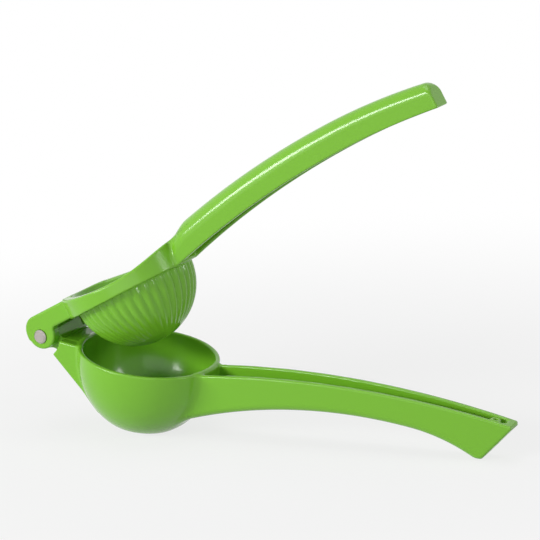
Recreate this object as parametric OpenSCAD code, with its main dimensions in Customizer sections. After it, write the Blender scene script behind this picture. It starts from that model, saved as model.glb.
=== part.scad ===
// Hinged citrus squeezer: two enamelled aluminium castings and the steel pin
// that joins them.
//
// Each arm is drawn closed, in one frame: the bowl's rim plane is z = 0, the
// bowl's axis is x = y = 0 and the handles run to +X. The upper arm is then
// turned about the pin to its open pose, and the whole stands on its bowl and
// on the tip of its lower handle, with the origin under its middle.

/* [Bowl] */
// Outer diameter of the bowl at its rim
bowl_d = 60; // [57:0.5:64]
// Depth from the rim to the flat under the bowl
bowl_depth = 32.1; // [31:0.1:34]
// How much larger than the rim's radius the side's arc is, seen in section
bowl_side_more = 6; // [5:0.5:8]
// How much smaller than the rim's radius the round bottom's arc is, seen in section
bowl_bottom_less = 2; // [1:0.5:2.5]
// Thickness of the bowl's wall
bowl_wall = 2.0; // [1.6:0.1:2.6]
// Radius of the rim's two edges
rim_edge_r = 0.7; // [0.4:0.05:0.75]

/* [Drain slots] */
// Number of slots in the ring of slots
slot_count = 10; // [6:2:12]
// Width of one slot
slot_w = 2.2; // [1.6:0.1:2.6]
// Radius at which the slots begin
slot_r_in = 4.5; // [4.2:0.1:5.5]
// Radius at which the slots end
slot_r_out = 11; // [9:0.1:12]

/* [Hinge] */
// Distance from the bowl's rim back to the pin
hinge_out = 15.4; // [14:0.1:20]
// Depth of the pin's axis under the rim plane
hinge_drop = 0.6; // [0.2:0.1:1]
// Diameter of the pin
pin_d = 6; // [4.5:0.1:6.5]
// How far each end of the pin stands out of its ear
pin_proud = 1.1; // [0.5:0.1:2]
// Bevel round each end of the pin
pin_bevel = 0.7; // [0.3:0.1:1]
// Radial play of the pin in the lug
pin_play = 0.05; // [0.02:0.01:0.1]
// Width over the two ears of the fork, and of the neck
fork_w = 28.4; // [26:0.2:31]
// Thickness of one ear
ear_t = 4.5; // [3.5:0.1:5.5]
// Radius of the ear's round end
ear_r = 7.0; // [6.6:0.1:7.4]
// Play between the lug and each ear
lug_play = 0.25; // [0.15:0.05:0.5]
// Radius of the lug round the pin
lug_r = 6.3; // [5.5:0.1:6.5]
// Gap between the round ends of the ears and the neck
neck_gap = 1.2; // [0.6:0.1:2]

/* [Press] */
// How much wider the ring that carries the press is than the bowl
ring_over = 0.2; // [0:0.1:1]
// Gap between the press and the bowl's wall
press_gap = 1.6; // [1:0.1:3]
// Height of the press's centre above the rim plane
press_up = 1.5; // [0.8:0.1:2.2]
// Thickness of the press's wall
press_wall = 3.0; // [2.4:0.1:4]
// Thickness of the ring's wall round its mouth
ring_wall = 4.7; // [3.6:0.1:5.6]
// Number of flutes round the press
flute_count = 40; // [32:2:46]
// Depth of a flute at the ring
flute_depth = 0.75; // [0.4:0.05:0.9]
// Angle below the ring at which the flutes have run out
flute_end = 64; // [56:1:68]

/* [Upper handle] */
// Distance from the bowl's axis to the handle's end
upper_reach = 164.3; // [150:0.5:175]
// Width at the ring
upper_root_w = 17.6; // [15:0.2:20]
// Width at the end
upper_tip_w = 10.4; // [9.4:0.2:13]
// Radius of the two long edges on top
upper_edge_r = 4.2; // [3:0.1:4.4]
// Radius of the end's upper corner, seen from the side
upper_corner_r = 2.6; // [1:0.1:4]

/* [Lower handle] */
// Distance from the bowl's axis to where the handle's end crosses the rim plane
lower_reach = 156.6; // [146:0.5:168]
// Width at the bowl
lower_root_w = 18.3; // [16:0.1:21]
// Width at the end
lower_tip_w = 9.4; // [8.6:0.1:12]
// Radius of the two long edges underneath
lower_edge_r = 3.2; // [2.4:0.1:3.6]
// Slant of the end
end_slant = 34.6; // [26:0.2:40]
// Radius of the end's lower corner, seen from the side
end_low_r = 3.5; // [2:0.1:4]
// Radius of the end's upper corner, seen from the side
end_top_r = 1.5; // [1:0.1:3]
// Diameter of the small boss in the channel near the end
boss_d = 4.2; // [3:0.1:5]

/* [Handle walls] */
// Thickness of the side walls
handle_wall = 2.3; // [1.8:0.1:2.8]
// Thickness of the back or floor that joins them
handle_web = 2.8; // [2.2:0.1:3.5]
// Thickness of the wall that closes the end
end_wall = 3.6; // [2.5:0.1:5]

/* [Pose] */
// Angle at which the arms stand open
open_deg = 36.8; // [5:0.1:60]

/* [Hidden] */
$fn = 96;
enamel = [0.46, 0.74, 0.23];
steel = [0.78, 0.78, 0.80];
cut = 0.5;                  // how far a cutting shape runs past what it cuts
sink = 15;                  // where the handles' lofts begin, inside the bowl and the ring
climb = 14;                 // how far from the ring the upper handle's back still climbs

bowl_r = bowl_d / 2;
bowl_side_r = bowl_r + bowl_side_more;
bowl_bottom_r = bowl_r - bowl_bottom_less;
ring_d = bowl_d + ring_over;
ring_r = ring_d / 2;
mouth_r = ring_r - ring_wall;
press_r = bowl_r - bowl_wall - press_gap;

// Bowl in section: a side arc and a bottom arc that meet without a corner
side_c = [bowl_r - bowl_side_r, -2];      // above this height the wall is straight
bottom_c = [0, side_c[1] - sqrt(pow(bowl_side_r - bowl_bottom_r, 2) - pow(side_c[0], 2))];
foot_r = sqrt(pow(bowl_bottom_r, 2) - pow(bowl_depth + bottom_c[1], 2));

// Arches seen from the side: [x of the top, z of the top, radius behind it, radius before it]
lower_rim = [140, 13.2, 430, 430];        // top edges of the lower handle's walls
belly = [120.5, 0.75, 212, 80];           // underside of the lower handle
spine = [115.5, 22.5, 400, 280];          // top of the upper handle
upper_rim = [131, 10.5, 420, 215];        // lower edges of the upper handle's walls
saddle = [5.5, 5.6, 145, 40];             // hollow top of the ring, curved the other way up

// Fork and ring, seen from the side
ring_z = -0.2;
fork_z = 0.5;
fork_top = 9.0;
ring_back = 9.5;
fork_web = 2.4;
pin_c = [-bowl_r - hinge_out, -hinge_drop];
ear_c = pin_c + [0.6, 0.7];               // the ear's round end isn't quite centred on the pin
ear_corner_r = 6;
ear_corner_c = [ear_c[0] - ear_r + ear_corner_r, fork_top - ear_corner_r];
ear_inside = fork_w / 2 - ear_t;
lug_half = ear_inside - lug_play;

// Neck, seen from the side
neck_top = -0.3;
neck_slope = 38.5;                        // fall of its straight underside
neck_low = pin_c + [5.8, -6.0];           // a point of that underside
neck_r = ear_r + norm(ear_c - pin_c) + neck_gap;

// Slanted end of the lower handle, with its two round corners
end_n = [cos(end_slant), -sin(end_slant)];
end_d = end_n[0] * lower_reach;
belly_c = [belly[0], belly[1] - belly[3]];
end_turn = end_slant + asin((end_d - end_low_r - end_n * belly_c) / (belly[3] + end_low_r));
end_low_c = belly_c + (belly[3] + end_low_r) * [sin(end_turn), cos(end_turn)];
end_top_z = rise(lower_rim, lower_reach + lower_rim[1] * tan(end_slant));
end_top_c = [(end_d - end_top_r - end_n[1] * (end_top_z - end_top_r)) / end_n[0], end_top_z - end_top_r];
upper_end_z = rise(spine, upper_reach);
upper_corner_c = [upper_reach - upper_corner_r, upper_end_z - upper_corner_r];

// Standing pose: the front of the bowl's foot and the lower handle's low corner touch the table
foot_front = [foot_r, -bowl_depth];
span = end_low_c - foot_front;
tilt = atan2(span[1], span[0]) - asin(end_low_r / norm(span));
left_x = min(stood(opened(ear_corner_c))[0] - ear_corner_r, stood(opened(ear_c))[0] - ear_r);
right_x = max(stood(end_top_c)[0] + end_top_r, stood(opened(upper_corner_c))[0] + upper_corner_r);
middle_x = (left_x + right_x) / 2;

function mix(a, b, t) = a + (b - a) * t;
function steps(a, b, n) = [for (i = [0:n]) mix(a, b, i / n)];
function arc(c, r, a0, a1, n = 12) = [for (a = steps(a0, a1, n)) c + r * [cos(a), sin(a)]];
function turned(p, a) = [p[0] * cos(a) - p[1] * sin(a), p[0] * sin(a) + p[1] * cos(a)];
function opened(p) = pin_c + turned(p - pin_c, open_deg);
function stood(p) = turned(p - foot_front, -tilt);
function eased_min(a, b, ease) = min(a, b) - pow(max(ease - abs(a - b), 0), 2) / ease / 4;
function sag(x, r) = r - sqrt(r * r - x * x);
function rise(a, x) = a[1] - sag(x - a[0], x < a[0] ? a[2] : a[3]);
function dip(a, x) = a[1] + sag(x - a[0], x < a[0] ? a[2] : a[3]);

function lower_half(x) = mix(lower_root_w, lower_tip_w, (x - bowl_r) / (lower_reach - bowl_r)) / 2;
function lower_top(x) = max(rise(lower_rim, x), neck_top);
function upper_half(x) = mix(upper_root_w, upper_tip_w, (x - ring_r) / (upper_reach - ring_r)) / 2;
function upper_top(x) = eased_min(rise(spine, x), dip(saddle, min(x, ring_r + 9.3)), 2.5);
function upper_low(x) = max(rise(upper_rim, x), ring_z);

// Cross-section of a handle: flat at z_flat, with two corners of radius r at z_round
function section(x, half, z_flat, z_round, r) =
    let (s = sign(z_round - z_flat), y = half - r, z = z_round - s * r)
    concat([[x, -half, z_flat]],
           [for (a = steps(180, 90, 6)) [x, r * cos(a) - y, z + s * r * sin(a)]],
           [for (a = steps(90, 0, 6)) [x, r * cos(a) + y, z + s * r * sin(a)]],
           [[x, half, z_flat]]);

// Skin over a row of cross-sections, closed at both ends; inward rows run the other way round
module loft(rows, inward = false) {
    n = len(rows[0]);
    m = len(rows);
    faces = concat([for (i = [0:m - 2]) for (j = [0:n - 1]) let (k = (j + 1) % n, a = i * n, b = a + n)
                    each [[a + j, a + k, b + k], [a + j, b + k, b + j]]],
                   [[for (j = [n - 1:-1:0]) j], [for (j = [0:n - 1]) (m - 1) * n + j]]);
    polyhedron([for (row = rows) each row],
               inward ? [for (f = faces) [for (j = [len(f) - 1:-1:0]) f[j]]] : faces);
}

// Outline in x and z, drawn through the width w
module side(outline, w) {
    translate([0, w / 2, 0]) rotate([90, 0, 0]) linear_extrude(w) polygon(outline);
}

module across(r, w, c = pin_c) {
    translate([c[0], 0, c[1]]) rotate([90, 0, 0]) cylinder(r = r, h = w, center = true);
}

module standing() {
    translate([-middle_x, 0, 0]) rotate([0, tilt, 0])
        translate([-foot_front[0], 0, -foot_front[1]]) children();
}

module opening() {
    standing() translate([pin_c[0], 0, pin_c[1]]) rotate([0, -open_deg, 0])
        translate([-pin_c[0], 0, -pin_c[1]]) children();
}

// ---- Lower arm
// Half of the bowl's outline, brought in by t, from below its rim to its axis
function bowl_line(t) =
    let (meet = atan2(bottom_c[1] - side_c[1], bottom_c[0] - side_c[0]),
         floor_z = t - bowl_depth,
         foot = asin((floor_z - bottom_c[1]) / (bowl_bottom_r - t)))
    concat(arc(side_c, bowl_side_r - t, 0, meet, 14),
           arc(bottom_c, bowl_bottom_r - t, mix(meet, foot, 1 / 8), foot, 7),
           [[0, floor_z]]);

module bowl() {
    inside = bowl_line(bowl_wall);
    rotate_extrude() polygon(concat(
        bowl_line(0), [for (i = [len(inside) - 1:-1:0]) inside[i]],
        arc([bowl_r - bowl_wall + rim_edge_r, -rim_edge_r], rim_edge_r, 180, 90, 4),
        arc([bowl_r - rim_edge_r, -rim_edge_r], rim_edge_r, 90, 0, 4)));
}

module bowl_core(t) {
    rotate_extrude() polygon(concat([[0, cut], [bowl_r - t, cut]], bowl_line(t)));
}

module drain_slots() {
    for (i = [0:slot_count - 1]) rotate((i + 0.5) * 360 / slot_count)
        translate([0, 0, -bowl_depth - cut]) linear_extrude(3 * bowl_wall) {
            translate([slot_r_in + slot_w / 2, -slot_w / 2])
                square([slot_r_out - slot_r_in - slot_w, slot_w]);
            for (x = [slot_r_in, slot_r_out - slot_w])
                translate([x + slot_w / 2, 0]) circle(slot_w / 2, $fn = 24);
        }
}

module lower_handle() {
    xs = steps(sink, lower_reach + bowl_r / 2, 26);
    end_trim = concat([[0, -bowl_d], [end_low_c[0] - end_low_r * sin(end_turn), -bowl_d]],
                      arc(end_low_c, end_low_r, -90 - end_turn, -end_slant),
                      arc(end_top_c, end_top_r, -end_slant, 88, 8),
                      [[end_top_c[0], bowl_d], [0, bowl_d]]);
    pocket_end = lower_reach - end_wall / cos(end_slant);
    lean = bowl_d * tan(end_slant);
    pocket_trim = [[0, -bowl_d], [pocket_end - lean, -bowl_d], [pocket_end + lean, bowl_d], [0, bowl_d]];
    difference() {
        intersection() {
            loft([for (x = xs) section(x, lower_half(x), lower_top(x), rise(belly, x), lower_edge_r)], true);
            side(end_trim, bowl_d);
        }
        intersection() {
            loft([for (x = xs) section(x, lower_half(x) - handle_wall, lower_top(x) + cut,
                                       rise(belly, x) + handle_web, lower_edge_r / 2)], true);
            side(pocket_trim, bowl_d);
        }
    }
}

// Small round boss beside the near wall, with a dimple in its top
module end_boss() {
    x = lower_reach;
    z = boss_d / 2 / tan(end_slant) + 0.2;
    translate([x, handle_wall + boss_d / 4 - lower_half(x), 0]) difference() {
        translate([0, 0, z]) cylinder(d = boss_d, h = lower_top(x) - z, $fn = 32);
        translate([0, 0, lower_top(x) - boss_d / 2]) cylinder(d = 0.4 * boss_d, h = boss_d, $fn = 24);
    }
}

// Wedge from the bowl to the hinge: full width beside the bowl, one lug between the ears
module neck() {
    toe_x = -bowl_r / 2;
    toe = [toe_x, neck_low[1] - (toe_x - neck_low[0]) * tan(neck_slope)];
    heel = [pin_c[0], neck_low[1] + (neck_low[0] - pin_c[0]) * tan(neck_slope)];
    wedge = [[toe_x, neck_top], [pin_c[0], neck_top], heel, toe];
    difference() {
        side(wedge, fork_w);
        across(neck_r, fork_w + 2 * cut);
    }
    side([[toe_x, neck_top - 2], [pin_c[0] + neck_r + 2, neck_top - 0.8],
          pin_c + 0.9 * lug_r * [cos(60), sin(60)], pin_c, pin_c + 0.9 * lug_r * [cos(-100), sin(-100)],
          neck_low + [4, -2.2], [toe_x, toe[1] / 2]],
         2 * lug_half);
    across(lug_r, 2 * lug_half);
}

module lower_arm() {
    color(enamel) standing() difference() {
        union() {
            bowl();
            end_boss();
            difference() {
                union() {
                    lower_handle();
                    neck();
                }
                bowl_core(bowl_wall / 2);
            }
        }
        drain_slots();
        across(pin_d / 2 + pin_play, fork_w);
    }
}

// ---- Upper arm
// Radius of the fluted press in the direction turn, at the angle down below its middle
function fluted(turn, down) =
    press_r - flute_depth * max(0, 1 - pow(max(0, down) / flute_end, 3)) * (1 + cos(flute_count * turn)) / 2;

module press() {
    downs = concat(steps(-5, flute_end, 8), steps(flute_end + 7, 85, 2));
    rows = [for (down = downs) [for (turn = steps(0, 360 - 90 / flute_count, 4 * flute_count - 1))
            fluted(turn, down) * [cos(turn) * cos(down), sin(turn) * cos(down), -sin(down)]]];
    translate([0, 0, press_up]) intersection() {
        loft(rows);
        translate([0, 0, -2 * press_r]) cylinder(r = ring_r, h = 2 * press_r + ring_z + cut - press_up);
    }
}

module press_hollow() {
    r = press_r - press_wall;
    translate([0, 0, press_up]) {
        sphere(r);
        cylinder(r1 = r, r2 = mouth_r, h = fork_top - press_up);
        translate([0, 0, fork_top - press_up]) cylinder(r = mouth_r, h = fork_top);
    }
}

// The ring's top is hollow like a saddle, from the fork up to the handle's back
module ring() {
    top = [for (x = steps(-ring_r - 1, ring_r + 1, 32)) [x, min(dip(saddle, x), x < 0 ? ring_back : bowl_d)]];
    intersection() {
        translate([0, 0, ring_z]) cylinder(r = ring_r, h = 3 * fork_top);
        side(concat([[ring_r + 1, ring_z - 1], [-ring_r - 1, ring_z - 1]], top), ring_d);
    }
}

module fork() {
    root_x = 7 - ring_r;                  // within the ring's wall, beside each ear
    difference() {
        side(concat(arc(ear_c, ear_r, 180, 360, 32),
                    [[root_x, fork_z], [root_x, fork_top - 1.5], [root_x - 6, fork_top]],
                    arc(ear_corner_c, ear_corner_r, 90, 180)), fork_w);
        translate([ear_c[0] - 2 * ear_r, -ear_inside, -ring_r])
            cube([ring_r, 2 * ear_inside, ring_r + fork_top - fork_web]);
    }
}

module upper_handle() {
    xs = concat(steps(ring_r - 4.1, ring_r + climb, 9), steps(ring_r + climb + 6, upper_reach, 17));
    end_trim = concat([[0, -ring_d], [upper_reach, -ring_d]], arc(upper_corner_c, upper_corner_r, 0, 88, 8),
                      [[upper_corner_c[0], ring_d], [0, ring_d]]);
    difference() {
        intersection() {
            loft([for (x = xs) section(x, upper_half(x), upper_low(x), upper_top(x), upper_edge_r)]);
            side(end_trim, ring_d);
        }
        loft([for (x = concat([for (x = xs) if (x < upper_reach - end_wall - 1) x], [upper_reach - end_wall]))
              section(x, upper_half(x) - handle_wall, upper_low(x) - cut, upper_top(x) - handle_web,
                      upper_edge_r / 2)]);
    }
}

module upper_arm() {
    color(enamel) opening() difference() {
        union() {
            ring();
            press();
            fork();
            upper_handle();
        }
        press_hollow();
        across(pin_d / 2, fork_w + 2 * cut);
    }
}

// ---- Pin: fixed in the two ears, turns in the lug
module hinge_pin() {
    half = fork_w / 2 + pin_proud;
    color(steel) opening() translate([pin_c[0], 0, pin_c[1]]) rotate([90, 0, 0]) {
        cylinder(d = pin_d, h = 2 * (half - pin_bevel), center = true);
        for (s = [0, 1]) mirror([0, 0, s]) translate([0, 0, half - pin_bevel])
            cylinder(d1 = pin_d, d2 = pin_d - 2 * pin_bevel, h = pin_bevel);
    }
}

lower_arm();
upper_arm();
hinge_pin();
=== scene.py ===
import math

import bpy
import numpy as np
from mathutils import Matrix, Vector


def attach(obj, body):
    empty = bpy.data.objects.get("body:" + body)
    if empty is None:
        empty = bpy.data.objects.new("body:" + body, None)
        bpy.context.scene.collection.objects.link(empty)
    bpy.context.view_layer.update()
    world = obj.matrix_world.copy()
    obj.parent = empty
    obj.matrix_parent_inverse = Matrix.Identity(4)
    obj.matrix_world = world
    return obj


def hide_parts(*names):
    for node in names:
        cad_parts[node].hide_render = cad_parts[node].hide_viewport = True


bl_info = {
    "name": "Hinged citrus squeezer",
    "version": (1, 0, 0),
    "blender": (4, 5, 0),
    "location": "View3D > Sidebar > Squeezer",
    "description": "Dresses the squeezer's castings and pin, and sets up the photograph's view",
    "category": "Object",
}

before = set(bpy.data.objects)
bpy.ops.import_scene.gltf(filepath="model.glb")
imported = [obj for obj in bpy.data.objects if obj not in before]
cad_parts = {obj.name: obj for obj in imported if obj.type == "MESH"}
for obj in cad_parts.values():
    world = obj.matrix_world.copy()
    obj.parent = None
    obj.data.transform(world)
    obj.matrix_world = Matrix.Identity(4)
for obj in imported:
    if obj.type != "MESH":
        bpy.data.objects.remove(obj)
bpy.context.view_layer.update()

MM = 0.001

# ---- Frames. Each arm is drawn closed, in millimetres: the bowl's axis is x = y = 0, its rim is
# at z = 0, and x runs to the handles' ends. Pairs are x and z.
FOOT_FRONT = np.array([12.982236, -32.1])  # front edge of the flat that the bowl stands on
TILT = math.radians(11.019167)  # lean of the lower arm as it stands
MIDDLE_X = 48.548400  # from that edge to the middle of the whole object
PIN = np.array([-45.4, -0.6])
OPEN = math.radians(36.8)  # how far the upper arm is lifted in the photograph

# ---- Sizes of the castings, in millimetres. An arch is its top point and its radii behind and
# before it.
LOWER_RIM = ((140, 13.2), 460, 430)  # top edges of the lower handle's walls
LOWER_BELLY = ((122, 0.42), 224, 76)  # underside of the lower handle
UPPER_SPINE = ((115.5, 22.5), 400, 280)  # back of the upper handle
UPPER_RIM = ((122, 10.4), 405, 330)  # lower edges of the upper handle's walls

BOWL_R = 30.0
UNDER_RIM = 0.3  # how far the tops of the neck and the handle stay under the bowl's rim
BOWL_DEPTH = 32.1
BOWL_WALL = 2.0
SIDE_ARC_R, SIDE_ARC_BACK, SIDE_ARC_DROP = 36, 6, 2  # its centre is past the axis, under the rim
BOTTOM_ARC_R, BOTTOM_ARC_DROP = 28, 7.2915

LOWER_HALF_WIDTHS = (9.15, 4.7)  # at the bowl and at the end
LOWER_REACH = 156.6  # where the slanted end crosses z = 0
LOWER_SLANT = math.radians(34.6)
UPPER_HALF_WIDTHS = (8.8, 5.2)
UPPER_REACH = 164.3
LOWER_END_WALL, UPPER_END_WALL = 3.7, 3.6
HANDLE_WALL = 2.3
HANDLE_SKIN = 2.8  # floor of the lower channel, and roof of the upper
HANDLE_CROWN = 0.9  # roundness of the upper handle's back, as a share of its half width

NECK_SLOPE = math.radians(38.5)
NECK_FROM_PIN = (5.8, -6.0)  # a point on the neck's sloping underside
FORK_HALF = 14.2
EAR_R, EAR_OFF_PIN = 6.7, (0.7, 0.9)
EAR_ROOM_R = 9.1  # hollow in the neck's block for the ears' round ends
LUG_R, LUG_HALF = 6.3, 9.45
LUG_BORE_R, EAR_BORE_R = 3.05, 3.0
FORK_TOP, FORK_UNDER, FORK_BACK = 8.6, 0.5, -51.4
GAP_HALF, GAP_ROOF = 9.7, 6.2
FORK_INTO_RING, HANDLE_INTO_RING = -22, 24  # where each ends, inside the ring

BOSS_R, BOSS_FROM_WALL, BOSS_FOOT, BOSS_PROUD = 2.2, 1.05, 3.2, 0.1
DIMPLE_R, DIMPLE_DEPTH = 0.85, 1.6

SLOTS = 10
SLOT_MIDDLE, SLOT_HALF, SLOT_R, SLOT_TOP = 7.75, 2.15, 1.1, -20

RING_R, RING_UNDER = 30.1, -0.2
SADDLE_LOW, SADDLE_BEHIND, SADDLE_BEFORE = (9.5, 5.5), 165.0, 40.0
SADDLE_END, SADDLE_BACK_TOP = 34.6, 9.1  # where its climb to the handle stops, and to the fork
SADDLE_EASE = 3.0

PRESS_R, PRESS_TOP, PRESS_INSIDE_R = 26.4, 1.5, 23.4
MOUTH_MORE, MOUTH_TOP = 2.0, 9.0  # how much the hollow widens up to the ring's top
FLUTES = 40
FLUTE_DEPTH = 0.9
FLUTE_END = math.radians(64)  # down from the ring, where the flutes have run out
RIB_SOFTNESS, RIB_HIGHEST = 0.015, 1.007  # keeps the ribs' edges from being sharp


def turn(p, angle):
    """Points (n, 3) turned in x and z, anticlockwise seen from -Y."""
    c, s = math.cos(angle), math.sin(angle)
    return np.stack([p[:, 0] * c - p[:, 2] * s, p[:, 1], p[:, 0] * s + p[:, 2] * c], 1)


def along(v):
    """A pair of x and z as a point on the object's middle plane."""
    return np.array([v[0], 0.0, v[1]])


def world_to_lower(p):
    """From the shared frame in metres to the lower arm's frame in millimetres."""
    return turn(p / MM + [MIDDLE_X, 0, 0], TILT) + along(FOOT_FRONT)


def lower_to_world(p):
    return (turn(p - along(FOOT_FRONT), -TILT) - [MIDDLE_X, 0, 0]) * MM


def world_to_upper(p):
    return turn(world_to_lower(p) - along(PIN), -OPEN) + along(PIN)


def upper_to_world(p):
    return lower_to_world(turn(p - along(PIN), OPEN) + along(PIN))


# ---- Distances to the castings' surfaces: negative inside, in millimetres
def join(a, b, r):
    """Union with a fillet of radius r."""
    return np.maximum(r, np.minimum(a, b)) - np.hypot(np.maximum(r - a, 0), np.maximum(r - b, 0))


def meet(a, b, r):
    """Intersection with a rounding of radius r."""
    return np.minimum(-r, np.maximum(a, b)) + np.hypot(np.maximum(r + a, 0), np.maximum(r + b, 0))


def eased_min(a, b, ease):
    """Lower of two heights, with the corner between them eased over the height ease."""
    return np.minimum(a, b) - np.maximum(ease - np.abs(a - b), 0) ** 2 / ease / 4


def arch(x, top, r_behind, r_before):
    """Height of an arch of two arcs that share its top."""
    dx = x - top[0]
    r = np.where(dx < 0, r_behind, r_before)
    return top[1] - (r - np.sqrt(np.maximum(r * r - dx * dx, 1.0)))


def ramp(x, a, b):
    """From 0 at a to 1 at b, smooth at both."""
    t = np.clip((x - a) / (b - a), 0, 1)
    return t * t * (3 - 2 * t)


def handle_half(x, half_widths, start, reach):
    """Half the width of a handle that tapers from start to reach."""
    root, end = half_widths
    return root + (end - root) * (x - start) / (reach - start)


def bowl_distance(r, z, t):
    """Distance to the bowl's outline brought in by t: a side arc, a bottom arc and a flat."""
    side = np.hypot(r + SIDE_ARC_BACK, np.minimum(z + SIDE_ARC_DROP, 0)) - (SIDE_ARC_R - t)
    bottom = np.hypot(r, z + BOTTOM_ARC_DROP) - (BOTTOM_ARC_R - t)
    between = BOTTOM_ARC_DROP - SIDE_ARC_DROP
    on_side = SIDE_ARC_BACK * (z + SIDE_ARC_DROP) + between * (r + SIDE_ARC_BACK) > 0
    return meet(np.where(on_side, side, bottom), -(BOWL_DEPTH - t) - z, r=1.2)


def lower_handle_distance(x, y, z, half, top, bowl):
    """The open channel with its slanted end, less the pocket between its walls."""
    low = arch(x, *LOWER_BELLY)
    end = (x * math.cos(LOWER_SLANT) - z * math.sin(LOWER_SLANT)
           - LOWER_REACH * math.cos(LOWER_SLANT))
    end_round = 1.0 + 2.5 * ramp(low - z, -4, 0)  # rounder towards the end's low corner
    handle = meet(np.abs(y) - half, low - z, r=3.3)
    handle = meet(handle, end, r=end_round)
    handle = meet(handle, z - top, r=0.9)
    handle = np.maximum(handle, BOWL_R / 2 - x)
    pocket = meet(np.abs(y) - (half - HANDLE_WALL), low + HANDLE_SKIN - z, r=2.0)
    pocket = meet(pocket, end + LOWER_END_WALL, r=1.5)
    pocket = meet(pocket, -bowl, r=1.6)
    return meet(handle, -pocket, r=0.8)


def neck_distance(x, y, z, from_pin):
    """A wedge under the rim, with a hollow for the ears' ends, and the lug between the ears."""
    px, pz = x - PIN[0], z - PIN[1]
    under = -((px - NECK_FROM_PIN[0]) * math.sin(NECK_SLOPE)
              + (pz - NECK_FROM_PIN[1]) * math.cos(NECK_SLOPE))
    wedge = meet(z + UNDER_RIM, under, r=0.6)
    block = meet(meet(wedge, np.abs(y) - FORK_HALF, r=0.9), EAR_ROOM_R - from_pin, r=0.6)
    lug = meet(join(wedge, from_pin - LUG_R, r=2.0), np.abs(y) - LUG_HALF, r=0.5)
    return np.maximum(join(block, lug, r=0.6), x + BOWL_R / 2)


def drain_slot_distance(x, y, z):
    """Slots that point away from the middle of the bowl's bottom."""
    step = 2 * math.pi / SLOTS
    folded = np.mod(np.arctan2(y, x), step) - step / 2
    r = np.hypot(x, y)
    u, v = r * np.cos(folded), r * np.sin(folded)
    slot = np.hypot(np.maximum(np.abs(u - SLOT_MIDDLE) - SLOT_HALF, 0), v) - SLOT_R
    return np.maximum(slot, z - SLOT_TOP)


def lower_arm_distance(p):
    x, y, z = p.T
    r = np.hypot(x, y)
    from_pin = np.hypot(x - PIN[0], z - PIN[1])
    half = handle_half(x, LOWER_HALF_WIDTHS, BOWL_R, LOWER_REACH)
    top = np.maximum(arch(x, *LOWER_RIM), -UNDER_RIM)
    bowl = bowl_distance(r, z, 0)
    solid = join(meet(bowl, z, r=0.8), lower_handle_distance(x, y, z, half, top, bowl), r=2.2)
    solid = join(solid, neck_distance(x, y, z, from_pin), r=1.6)
    # a small round boss with a dimple, beside the near wall
    off_axis = np.hypot(x - LOWER_REACH, y - (HANDLE_WALL + BOSS_FROM_WALL - half))
    boss = meet(meet(off_axis - BOSS_R, z - top - BOSS_PROUD, r=0.6), BOSS_FOOT - z, r=0.3)
    dimple = meet(off_axis - DIMPLE_R, top - DIMPLE_DEPTH - z, r=0.3)
    solid = join(solid, boss, r=0.8)
    solid = meet(solid, -dimple, r=0.4)
    solid = meet(solid, -bowl_distance(r, z, BOWL_WALL), r=0.8)
    solid = meet(solid, LUG_BORE_R - from_pin, r=0.3)
    return meet(solid, -drain_slot_distance(x, y, z), r=0.45)


def saddle(x):
    """Height of the ring's hollow top, which climbs to the fork and to the handle."""
    dx = np.minimum(x - SADDLE_LOW[0], SADDLE_END)
    r = np.where(dx < 0, SADDLE_BEHIND, SADDLE_BEFORE)
    z = SADDLE_LOW[1] + r - np.sqrt(np.maximum(r * r - dx * dx, 1.0))
    return np.where(x < 0, np.minimum(z, SADDLE_BACK_TOP), z)


def press_distance(x, y, z):
    """The round press, whose flutes fade out on the way to its crown."""
    r = np.hypot(x, y)
    down = np.arctan2(-(z - PRESS_TOP), r)
    fade = np.clip(1 - (np.maximum(down, 0) / FLUTE_END) ** 3, 0, 1)
    rib = np.sqrt(np.sin(FLUTES / 2 * np.arctan2(y, x)) ** 2 + RIB_SOFTNESS)
    flute = FLUTE_DEPTH * fade * (RIB_HIGHEST - rib)
    ball = np.sqrt(r * r + (z - PRESS_TOP) ** 2) - (PRESS_R - flute)
    return np.maximum(ball, z - PRESS_TOP)


def fork_distance(x, y, z, from_ring):
    """Two ears with round ends under a web."""
    ear = np.hypot(x - PIN[0] - EAR_OFF_PIN[0], z - PIN[1] - EAR_OFF_PIN[1]) - EAR_R
    plate = meet(z - FORK_TOP, FORK_BACK - x, r=6.0)
    plate = np.maximum(np.maximum(plate, FORK_UNDER - z), x - FORK_INTO_RING)
    fork = meet(join(plate, ear, r=1.5), np.abs(y) - FORK_HALF, r=1.0)
    gap = meet(np.abs(y) - GAP_HALF, z - GAP_ROOF, r=1.2)
    gap = meet(gap, -from_ring, r=1.5)
    return meet(fork, -gap, r=0.6)


def upper_handle_distance(x, y, z, from_ring):
    """The inverted channel with its round back, less the pocket between its walls."""
    half = handle_half(x, UPPER_HALF_WIDTHS, RING_R, UPPER_REACH)
    top = eased_min(arch(x, *UPPER_SPINE), saddle(x), SADDLE_EASE)
    low = np.maximum(arch(x, *UPPER_RIM), RING_UNDER)
    inside = half - HANDLE_WALL
    end_round = 0.8 + 2.2 * ramp(z - top, -5, 0)  # rounder towards the end's top corner
    handle = meet(np.abs(y) - half, z - top, r=HANDLE_CROWN * half)
    handle = meet(handle, x - UPPER_REACH, r=end_round)
    handle = meet(handle, low - z, r=0.7)
    handle = np.maximum(handle, HANDLE_INTO_RING - x)
    pocket = meet(np.abs(y) - inside, z - (top - HANDLE_SKIN), r=HANDLE_CROWN * inside)
    pocket = meet(pocket, x - (UPPER_REACH - UPPER_END_WALL), r=1.5)
    pocket = meet(pocket, -from_ring, r=1.6)
    return meet(handle, -pocket, r=0.8)


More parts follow.
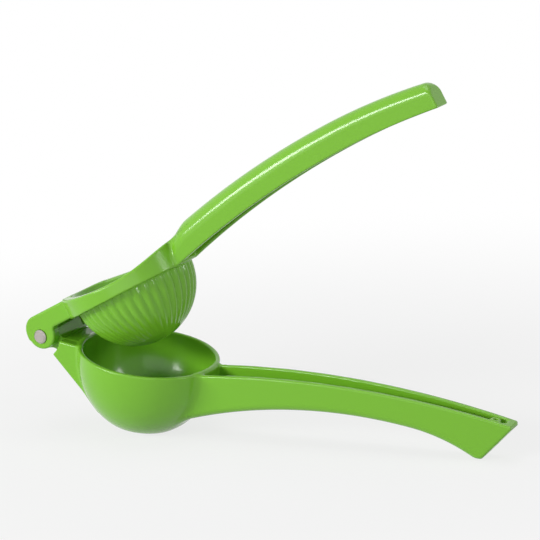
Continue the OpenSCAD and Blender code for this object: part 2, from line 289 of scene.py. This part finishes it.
def upper_arm_distance(p):
    x, y, z = p.T
    r = np.hypot(x, y)
    from_ring = r - RING_R
    ring = meet(meet(from_ring, RING_UNDER - z, r=0.6), z - saddle(x), r=1.0)
    solid = join(ring, press_distance(x, y, z), r=0.7)
    solid = join(solid, fork_distance(x, y, z, from_ring), r=0.9)
    solid = join(solid, upper_handle_distance(x, y, z, from_ring), r=1.2)
    up = z - PRESS_TOP
    mouth_r = PRESS_INSIDE_R + MOUTH_MORE * np.clip(up / (MOUTH_TOP - PRESS_TOP), 0, 1)
    hollow = np.where(up < 0, np.sqrt(r * r + up ** 2) - PRESS_INSIDE_R, r - mouth_r)
    solid = meet(solid, -hollow, r=1.0)
    return meet(solid, EAR_BORE_R - np.hypot(x - PIN[0], z - PIN[1]), r=0.25)


# ---- Meshes
def settled(p, distance, rounds=12):
    """Points moved onto the surface distance = 0, and the surface's normals there."""
    h = 0.02  # half the span of the slope's differences
    least_slope, longest_move, share = 0.2, 0.6, 0.9
    steps = h * np.eye(3)
    for i in range(rounds + 1):
        g = np.stack([distance(p + e) - distance(p - e) for e in steps], 1) / (2 * h)
        size = np.maximum(np.linalg.norm(g, axis=1), least_slope)
        if i == rounds:
            return p, g / size[:, None]
        d = np.clip(distance(p) / size, -longest_move, longest_move)
        p = p - share * (d / size)[:, None] * g


def casting(name, node, body, distance, to_local, to_world, props):
    """A casting's fine mesh: the CAD node remeshed, then settled on its rounded surface."""
    obj = bpy.data.objects.new(name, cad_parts[node].data.copy())
    bpy.context.scene.collection.objects.link(obj)
    remesh = obj.modifiers.new("remesh", "REMESH")
    remesh.mode = "VOXEL"
    remesh.voxel_size = props.fineness
    depsgraph = bpy.context.evaluated_depsgraph_get()
    fine = bpy.data.meshes.new_from_object(obj.evaluated_get(depsgraph))
    obj.modifiers.clear()
    obj.data = fine
    p = np.empty(3 * len(fine.vertices))
    fine.vertices.foreach_get("co", p)
    p, normal = settled(to_local(p.reshape(-1, 3)), distance)
    fine.vertices.foreach_set("co", to_world(p).ravel())
    normal = to_world(p + normal) - to_world(p)
    normal /= np.linalg.norm(normal, axis=1)[:, None]
    fine.update()
    fine.polygons.foreach_set("use_smooth", [True] * len(fine.polygons))
    fine.normals_split_custom_set_from_vertices([tuple(n) for n in normal])
    fine.materials.clear()
    fine.materials.append(enamel_material(props))
    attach(obj, body)
    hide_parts(node)


# ---- Materials
def linear(hex_colour):
    """sRGB hex to linear RGBA."""
    out = []
    for i in (1, 3, 5):
        c = int(hex_colour[i:i + 2], 16) / 255
        out.append(c / 12.92 if c <= 0.04045 else ((c + 0.055) / 1.055) ** 2.4)
    return (*out, 1.0)


WHITE = linear("#FFFFFF")


def add_node(tree, kind, inputs=None, **settings):
    """Add a node; an input is given a value, or a socket to link."""
    node = tree.nodes.new(kind)
    for key, value in settings.items():
        setattr(node, key, value)
    for key, value in (inputs or {}).items():
        if isinstance(value, bpy.types.NodeSocket):
            tree.links.new(value, node.inputs[key])
        else:
            node.inputs[key].default_value = value
    return node


def new_material(name):
    material = bpy.data.materials.new(name)
    material.use_nodes = True
    tree = material.node_tree
    return material, tree, tree.nodes["Principled BSDF"]


def enamel_material(props):
    """Baked gloss enamel on cast aluminium: an even green with a faint orange peel."""
    made = bpy.data.materials.get("green_gloss_enamel")
    if made:
        return made
    peel_size, wave_size = 2.381 * MM, 16.667 * MM  # the peel's grain, and slower waves under it
    material, tree, shader = new_material("green_gloss_enamel")
    where = add_node(tree, "ShaderNodeTexCoord").outputs["Object"]
    peel = add_node(tree, "ShaderNodeTexNoise",
                    {"Vector": where, "Scale": 1 / peel_size, "Detail": 0.0})
    waves = add_node(tree, "ShaderNodeTexNoise",
                     {"Vector": where, "Scale": 1 / wave_size, "Detail": 1.0})
    both = add_node(tree, "ShaderNodeMath",
                    {0: peel.outputs["Fac"], 1: waves.outputs["Fac"]}, operation="ADD")
    bump = add_node(tree, "ShaderNodeBump",
                    {"Height": both.outputs[0], "Strength": 0.03, "Distance": 0.2 * MM})
    tree.links.new(bump.outputs["Normal"], shader.inputs["Normal"])
    shader.inputs["Base Color"].default_value = (*props.enamel_colour, 1.0)
    shader.inputs["Roughness"].default_value = props.enamel_roughness
    shader.inputs["IOR"].default_value = 1.42
    return material


def steel_material(props):
    """Turned stainless steel: the tool leaves fine rings round the pin's axis."""
    ring_spacing = 0.5 * MM  # real ones are finer: drawn this coarse to show at all
    waves_per_unit = 20 / (2 * math.pi)  # of the wave texture at scale 1
    material, tree, shader = new_material("turned_stainless_steel")
    where = add_node(tree, "ShaderNodeTexCoord").outputs["Object"]
    pin = lower_to_world(along(PIN)[None])[0]
    from_axis = add_node(tree, "ShaderNodeVectorMath", {0: where, 1: tuple(-pin)}, operation="ADD")
    rings = add_node(tree, "ShaderNodeTexWave",
                     {"Vector": from_axis.outputs[0], "Scale": 1 / (waves_per_unit * ring_spacing),
                      "Distortion": 0.6, "Detail": 2.0, "Detail Scale": 2.0},
                     wave_type="RINGS", rings_direction="Y")
    bump = add_node(tree, "ShaderNodeBump",
                    {"Height": rings.outputs["Fac"], "Strength": 0.25, "Distance": 0.05 * MM})
    tree.links.new(bump.outputs["Normal"], shader.inputs["Normal"])
    shader.inputs["Base Color"].default_value = (*props.steel_colour, 1.0)
    shader.inputs["Metallic"].default_value = 1.0
    shader.inputs["Roughness"].default_value = 0.28
    return material


def seen_rays(tree):
    """1 for rays that show the background to the eye: straight, in gloss or through glass."""
    rays = add_node(tree, "ShaderNodeLightPath").outputs
    sharp = add_node(tree, "ShaderNodeMath",
                     {0: rays["Is Glossy Ray"], 1: rays["Is Transmission Ray"]},
                     operation="MAXIMUM")
    return add_node(tree, "ShaderNodeMath", {0: rays["Is Camera Ray"], 1: sharp.outputs[0]},
                    operation="MAXIMUM").outputs[0]


def floor_material():
    """Matt white paper: it shows white away from the object, and near it keeps a faint shadow."""
    material, tree, shader = new_material("matt_white_paper")
    shader.inputs["Base Color"].default_value = linear("#D4D4D4")
    shader.inputs["Roughness"].default_value = 0.9
    shader.inputs["Specular IOR Level"].default_value = 0.0
    white = add_node(tree, "ShaderNodeEmission", {"Color": WHITE, "Strength": 1.0})
    where = add_node(tree, "ShaderNodeTexCoord").outputs["Object"]
    away = add_node(tree, "ShaderNodeVectorMath", {0: where}, operation="LENGTH")
    whiteness = add_node(tree, "ShaderNodeMapRange",
                         {"Value": away.outputs["Value"], "From Min": 0.1, "From Max": 0.45,
                          "To Min": 0.78, "To Max": 1.0}, interpolation_type="SMOOTHSTEP")
    share = add_node(tree, "ShaderNodeMath", {0: seen_rays(tree), 1: whiteness.outputs[0]},
                     operation="MULTIPLY")
    mixed = add_node(tree, "ShaderNodeMixShader",
                     {0: share.outputs[0], 1: shader.outputs[0], 2: white.outputs[0]})
    tree.links.new(mixed.outputs[0], tree.nodes["Material Output"].inputs["Surface"])
    return material


# ---- Stage, in metres
LIGHTS = (  # name, place, target, size, watts
    ("key", (-0.70, -0.88, 0.46), (0, 0, 0.06), (0.7, 0.2), 9),
    ("front", (0.0, -1.35, 0.3), (0, 0, 0.05), (2.2, 0.9), 6.5),
    ("side", (1.10, 0.03, 0.46), (0, 0, 0.05), (0.22, 0.3), 2.4),
    ("top", (-0.1, 0.1, 1.3), (0, 0, 0.05), (0.8, 0.8), 4.5),
)
FLOOR_SIZE = 3

# The camera fitted to the photograph, in degrees and millimetres, in the lower arm's frame
# turned by FIT_TILT
AZIMUTH, ELEVATION, ROLL, FIT_TILT = (math.radians(a) for a in (28.3, 12.9, -5.27, 12.1))
AIM = (61.213, 0, 37.301)
DISTANCE = 900


def area_light(name, place, target, size, power):
    light = bpy.data.lights.new(name, "AREA")
    light.shape = "RECTANGLE"
    light.size, light.size_y = size
    light.energy = power
    obj = bpy.data.objects.new(name, light)
    obj.location = place
    obj.rotation_euler = (Vector(target) - Vector(place)).to_track_quat("-Z", "Y").to_euler()
    bpy.context.scene.collection.objects.link(obj)


def photo_camera(lens):
    """The camera at the photograph's place."""
    right = np.array([math.cos(AZIMUTH), math.sin(AZIMUTH), 0.0])
    back = np.array([math.sin(AZIMUTH) * math.cos(ELEVATION),
                     -math.cos(AZIMUTH) * math.cos(ELEVATION), math.sin(ELEVATION)])
    up = np.cross(back, right)
    right, up = (math.cos(ROLL) * right + math.sin(ROLL) * up,
                 math.cos(ROLL) * up - math.sin(ROLL) * right)
    place, *axes = turn(np.array([AIM + DISTANCE * back, right, up, back]), FIT_TILT)
    place = lower_to_world(place[None])[0]
    axes = turn(np.array(axes), -TILT)
    data = bpy.data.cameras.new("photo_camera")
    data.lens = lens
    data.sensor_width = 36
    data.clip_end = 20
    camera = bpy.data.objects.new("photo_camera", data)
    camera.matrix_world = Matrix.Translation(place) @ Matrix(axes.T.tolist()).to_4x4()
    bpy.context.scene.collection.objects.link(camera)
    bpy.context.scene.camera = camera


def studio_world():
    """White where the eye sees the background, and a soft low light on the object."""
    world = bpy.data.worlds.new("studio")
    world.use_nodes = True
    tree = world.node_tree
    tree.nodes.clear()
    white = add_node(tree, "ShaderNodeBackground", {"Color": WHITE, "Strength": 1.0})
    soft = add_node(tree, "ShaderNodeBackground", {"Color": WHITE, "Strength": 0.2})
    pick = add_node(tree, "ShaderNodeMixShader",
                    {0: seen_rays(tree), 1: soft.outputs[0], 2: white.outputs[0]})
    add_node(tree, "ShaderNodeOutputWorld", {"Surface": pick.outputs[0]})
    return world


# ---- Add-on
class SqueezerSettings(bpy.types.PropertyGroup):
    enamel_colour: bpy.props.FloatVectorProperty(
        name="Enamel colour", description="Colour of the enamel on both arms", subtype="COLOR",
        size=3, min=0, max=1, default=linear("#79BA2E")[:3])
    enamel_roughness: bpy.props.FloatProperty(
        name="Enamel roughness", description="Roughness of the enamel's gloss", subtype="FACTOR",
        min=0, max=1, default=0.17)
    steel_colour: bpy.props.FloatVectorProperty(
        name="Steel colour", description="Colour of the pin's steel", subtype="COLOR",
        size=3, min=0, max=1, default=linear("#B8B2AC")[:3])
    fineness: bpy.props.FloatProperty(
        name="Mesh fineness", description="Size of a face on the castings", unit="LENGTH",
        min=0.3 * MM, max=2 * MM, default=0.5 * MM)
    lens: bpy.props.FloatProperty(
        name="Lens", description="Focal length of the photograph's view, on a 36 mm frame",
        unit="CAMERA", min=50, max=300, default=147.82)


class SQUEEZER_OT_lower_arm(bpy.types.Operator):
    """Dress the lower arm: bowl, neck with its lug, and open channel handle"""

    bl_idname = "squeezer.lower_arm"
    bl_label = "Lower arm"

    def execute(self, context):
        casting("lower_casting", "lower_arm", "lower", lower_arm_distance,
                world_to_lower, lower_to_world, context.scene.squeezer)
        return {"FINISHED"}


class SQUEEZER_OT_upper_arm(bpy.types.Operator):
    """Dress the upper arm: fork, ring, fluted press and inverted channel handle"""

    bl_idname = "squeezer.upper_arm"
    bl_label = "Upper arm"

    def execute(self, context):
        casting("upper_casting", "upper_arm", "upper", upper_arm_distance,
                world_to_upper, upper_to_world, context.scene.squeezer)
        return {"FINISHED"}


class SQUEEZER_OT_hinge_pin(bpy.types.Operator):
    """Give the hinge pin its steel"""

    bl_idname = "squeezer.hinge_pin"
    bl_label = "Hinge pin"

    def execute(self, context):
        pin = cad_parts["hinge_pin"]
        pin.data.materials.clear()
        pin.data.materials.append(steel_material(context.scene.squeezer))
        return {"FINISHED"}


class SQUEEZER_OT_stage(bpy.types.Operator):
    """Set up the photograph's camera, the pale floor and the studio light"""

    bl_idname = "squeezer.stage"
    bl_label = "Stage"

    def execute(self, context):
        scene = context.scene
        photo_camera(scene.squeezer.lens)
        scene.view_settings.view_transform = "Standard"
        bpy.ops.mesh.primitive_plane_add(size=FLOOR_SIZE, location=(0, 0, 0))
        floor = context.active_object
        floor.name = "floor"
        floor.data.materials.append(floor_material())
        for light in LIGHTS:
            area_light(*light)
        scene.world = studio_world()
        return {"FINISHED"}


OPERATORS = (SQUEEZER_OT_lower_arm, SQUEEZER_OT_upper_arm, SQUEEZER_OT_hinge_pin,
             SQUEEZER_OT_stage)


class SQUEEZER_PT_panel(bpy.types.Panel):
    """The squeezer's settings and steps"""

    bl_label = "Squeezer"
    bl_idname = "SQUEEZER_PT_panel"
    bl_space_type = "VIEW_3D"
    bl_region_type = "UI"
    bl_category = "Squeezer"

    def draw(self, context):
        for key in SqueezerSettings.__annotations__:
            self.layout.prop(context.scene.squeezer, key)
        for operator in OPERATORS:
            self.layout.operator(operator.bl_idname)


def register():
    for cls in (SqueezerSettings, *OPERATORS, SQUEEZER_PT_panel):
        bpy.utils.register_class(cls)
    bpy.types.Scene.squeezer = bpy.props.PointerProperty(type=SqueezerSettings)


def unregister():
    del bpy.types.Scene.squeezer
    for cls in (SQUEEZER_PT_panel, *reversed(OPERATORS), SqueezerSettings):
        bpy.utils.unregister_class(cls)


def main():
    register()
    bpy.ops.squeezer.lower_arm()
    bpy.ops.squeezer.upper_arm()
    bpy.ops.squeezer.hinge_pin()
    bpy.ops.squeezer.stage()


if __name__ == "__main__":
    main()
